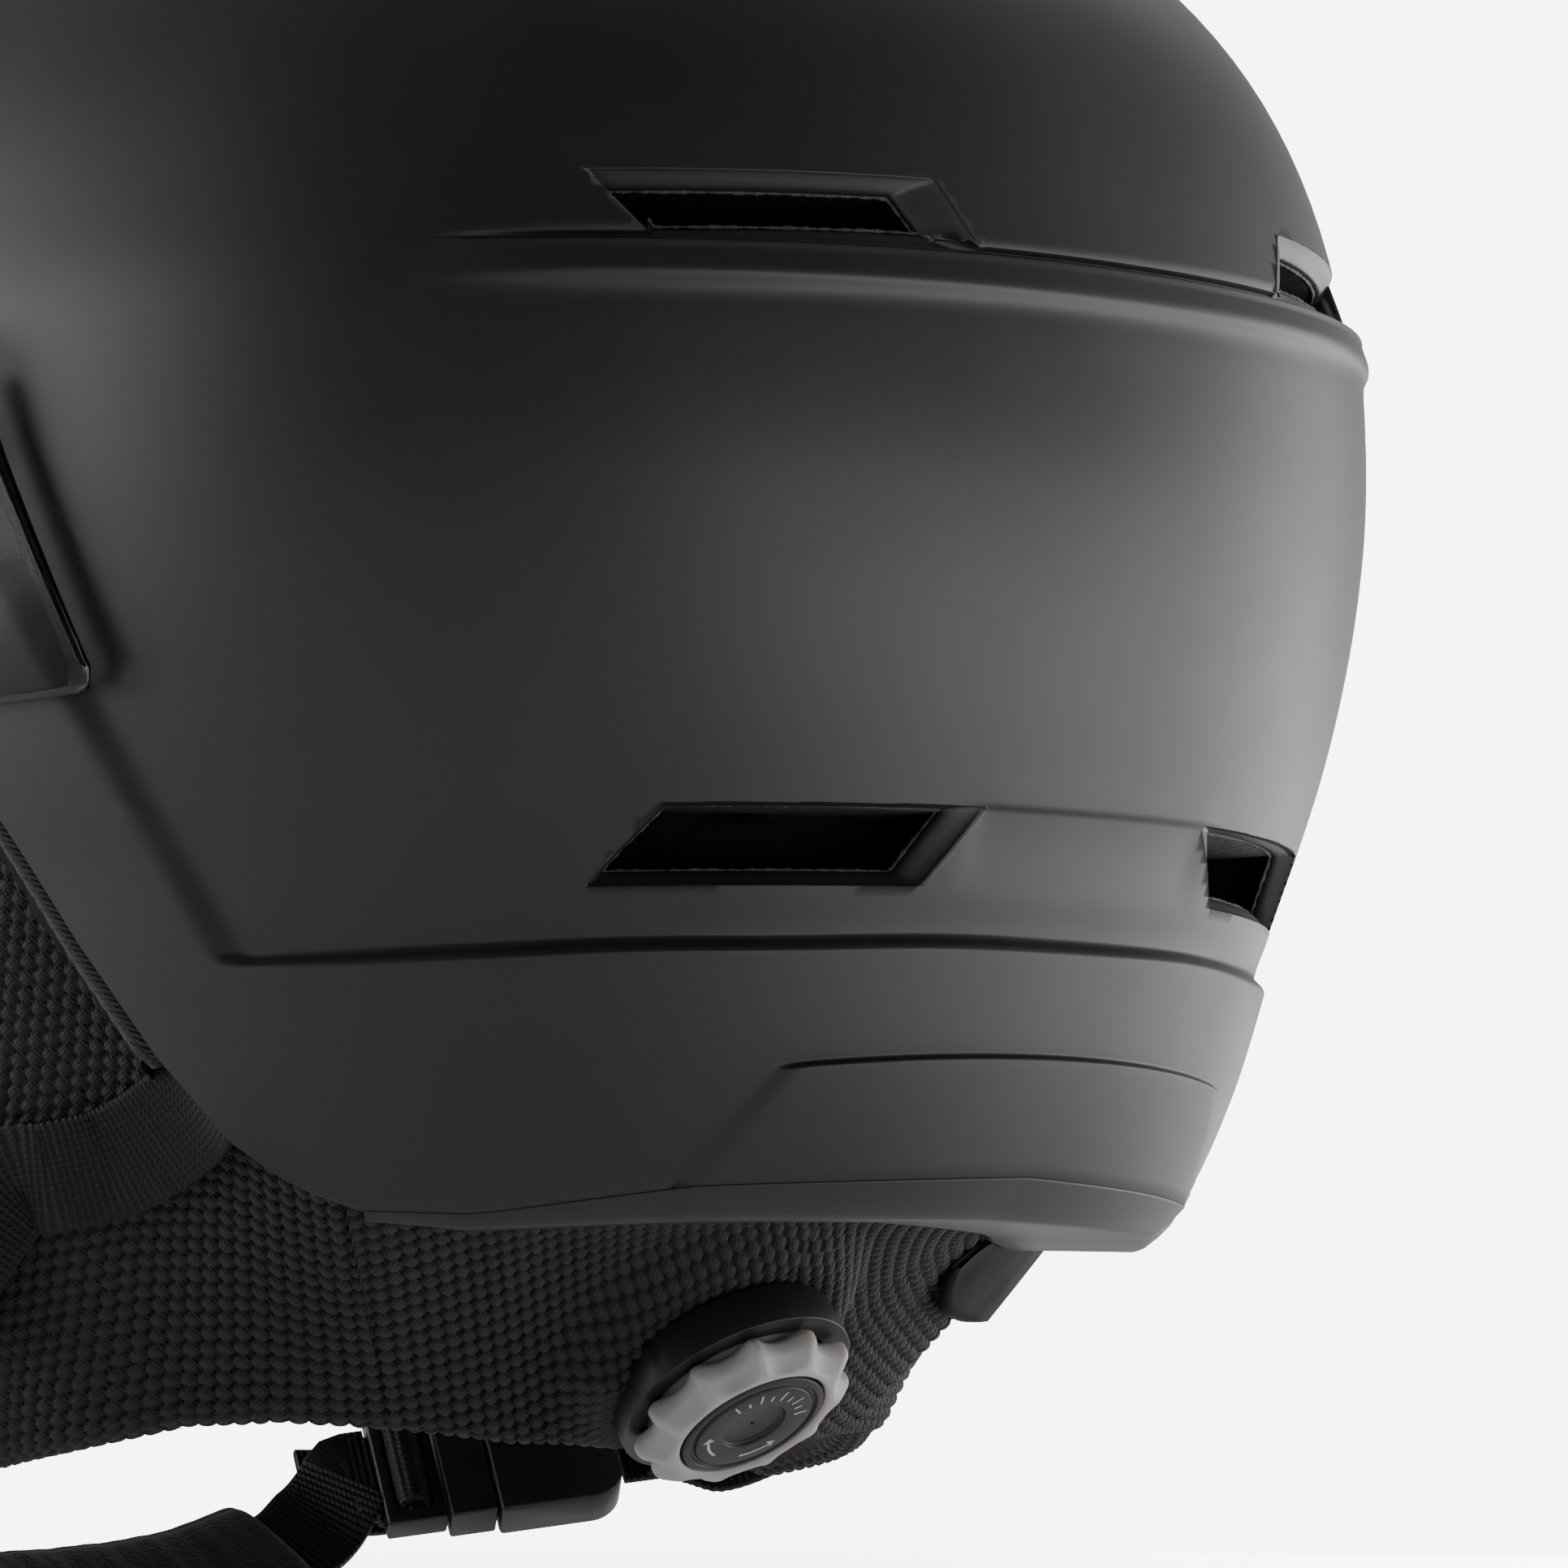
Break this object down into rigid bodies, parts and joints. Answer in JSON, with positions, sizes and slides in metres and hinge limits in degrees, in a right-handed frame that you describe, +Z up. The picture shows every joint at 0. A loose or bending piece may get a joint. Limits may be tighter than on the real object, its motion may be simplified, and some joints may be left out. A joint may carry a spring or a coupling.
{
  "type": "ski helmet",
  "caption": "Matt black ski helmet with a swing-up smoked visor, rear vents, knit ear pads, a nape fit dial and a buckled chin strap.",
  "frame": {"origin": "middle of the head opening, level with the bottom of the shell's tail", "axes": "+X to the wearer's left, +Y to the rear, +Z up through the crown"},
  "size_m": [0.2412, 0.2672, 0.2615],
  "materials": {
    "shell_black": "satin black lacquer",
    "rim_black": "satin black, slightly coarser",
    "liner_foam": "dark expanded foam beads",
    "seal_rubber": "soft matt rubber",
    "lining_fabric": "black brushed lining",
    "knit_fabric": "black waffle knit",
    "twill_binding": "dark grey twill tape",
    "visor_smoke": "lightly smoked polycarbonate",
    "frame_black": "black edge moulding",
    "trim_plastic": "black moulded",
    "screw_steel": "blackened steel",
    "dial_grey": "translucent grey soft plastic",
    "disc_grey": "dark grey moulded",
    "gear_plastic": "natural acetal",
    "fit_plastic": "black nylon",
    "webbing": "black ribbed webbing",
    "fleece": "black fleece",
    "buckle_black": "black acetal"
  },
  "bodies": {
    "helmet": {"outer_shell": "shell_black", "lower_rim": "rim_black", "foam_crown": "liner_foam", "foam_rear_left": "liner_foam", "foam_rear_right": "liner_foam", "foam_side_left": "liner_foam", "foam_side_right": "liner_foam", "foam_front_left": "liner_foam", "foam_front_right": "liner_foam", "brow_seal": "seal_rubber", "crown_pad": "lining_fabric", "brow_pad": "lining_fabric", "side_pad_left": "lining_fabric", "side_pad_right": "lining_fabric", "ear_pad_left": "knit_fabric", "ear_pad_right": "knit_fabric", "ear_binding_left": "twill_binding", "ear_binding_right": "twill_binding", "neck_roll": "knit_fabric", "ear_flap_right": "lining_fabric", "pivot_base_left": "trim_plastic", "pivot_base_right": "trim_plastic", "pivot_screw_left": "screw_steel", "pivot_screw_right": "screw_steel", "fit_rail": "fit_plastic", "strap_anchors": "fit_plastic", "strap_rear_left": "webbing", "strap_rear_right": "webbing", "strap_front_left": "webbing", "strap_front_right": "webbing", "strap_divider_left": "buckle_black", "strap_divider_right": "buckle_black", "chin_strap_left": "webbing", "chin_strap_right": "webbing", "strap_keeper": "buckle_black", "buckle_socket": "buckle_black"},
    "visor": {"visor_lens": "visor_smoke", "visor_frame": "frame_black", "visor_seal": "seal_rubber", "visor_hub_left": "trim_plastic", "visor_hub_right": "trim_plastic"},
    "fit_unit": {"fit_carriage": "fit_plastic", "dial_housing": "fit_plastic"},
    "dial": {"dial_ring": "dial_grey", "dial_disc": "disc_grey", "dial_pinion": "gear_plastic", "dial_screw": "screw_steel"},
    "band_left": {"fit_band_left": "fit_plastic"},
    "band_right": {"fit_band_right": "fit_plastic"},
    "chin_half": {"chin_pad": "fleece", "ladder_lock": "buckle_black", "buckle_plug": "buckle_black"}
  },
  "joints": [
    {"name": "visor_hinge", "type": "hinge", "parent": "helmet", "child": "visor", "pos_m": [0, 0.004, 0.1], "axis": [-1, 0, 0], "range_deg": [0, 55]},
    {"name": "fit_height", "type": "slide", "parent": "helmet", "child": "fit_unit", "axis": [0, 0, 1], "range_m": [-0.004, 0.004], "deforming": ["neck_roll"]},
    {"name": "dial_turn", "type": "hinge", "parent": "fit_unit", "child": "dial", "pos_m": [0, 0.0533, -0.0256], "axis": [0, 0.5878, -0.809], "range_deg": [-40, 80]},
    {"name": "band_left_slide", "type": "slide", "parent": "fit_unit", "child": "band_left", "axis": [-1, 0, 0], "range_m": [-0.0042, 0.0084]},
    {"name": "band_right_slide", "type": "slide", "parent": "fit_unit", "child": "band_right", "axis": [1, 0, 0], "range_m": [-0.0042, 0.0084]},
    {"name": "buckle_release", "type": "slide", "parent": "helmet", "child": "chin_half", "axis": [0.8164, -0.5613, -0.1361], "range_m": [0, 0.016], "deforming": ["chin_strap_left"]}
  ],
  "couplings": [
    {"joint": "band_left_slide", "follows": "dial_turn", "m_per_rad": 0.006},
    {"joint": "band_right_slide", "follows": "dial_turn", "m_per_rad": 0.006}
  ]
}
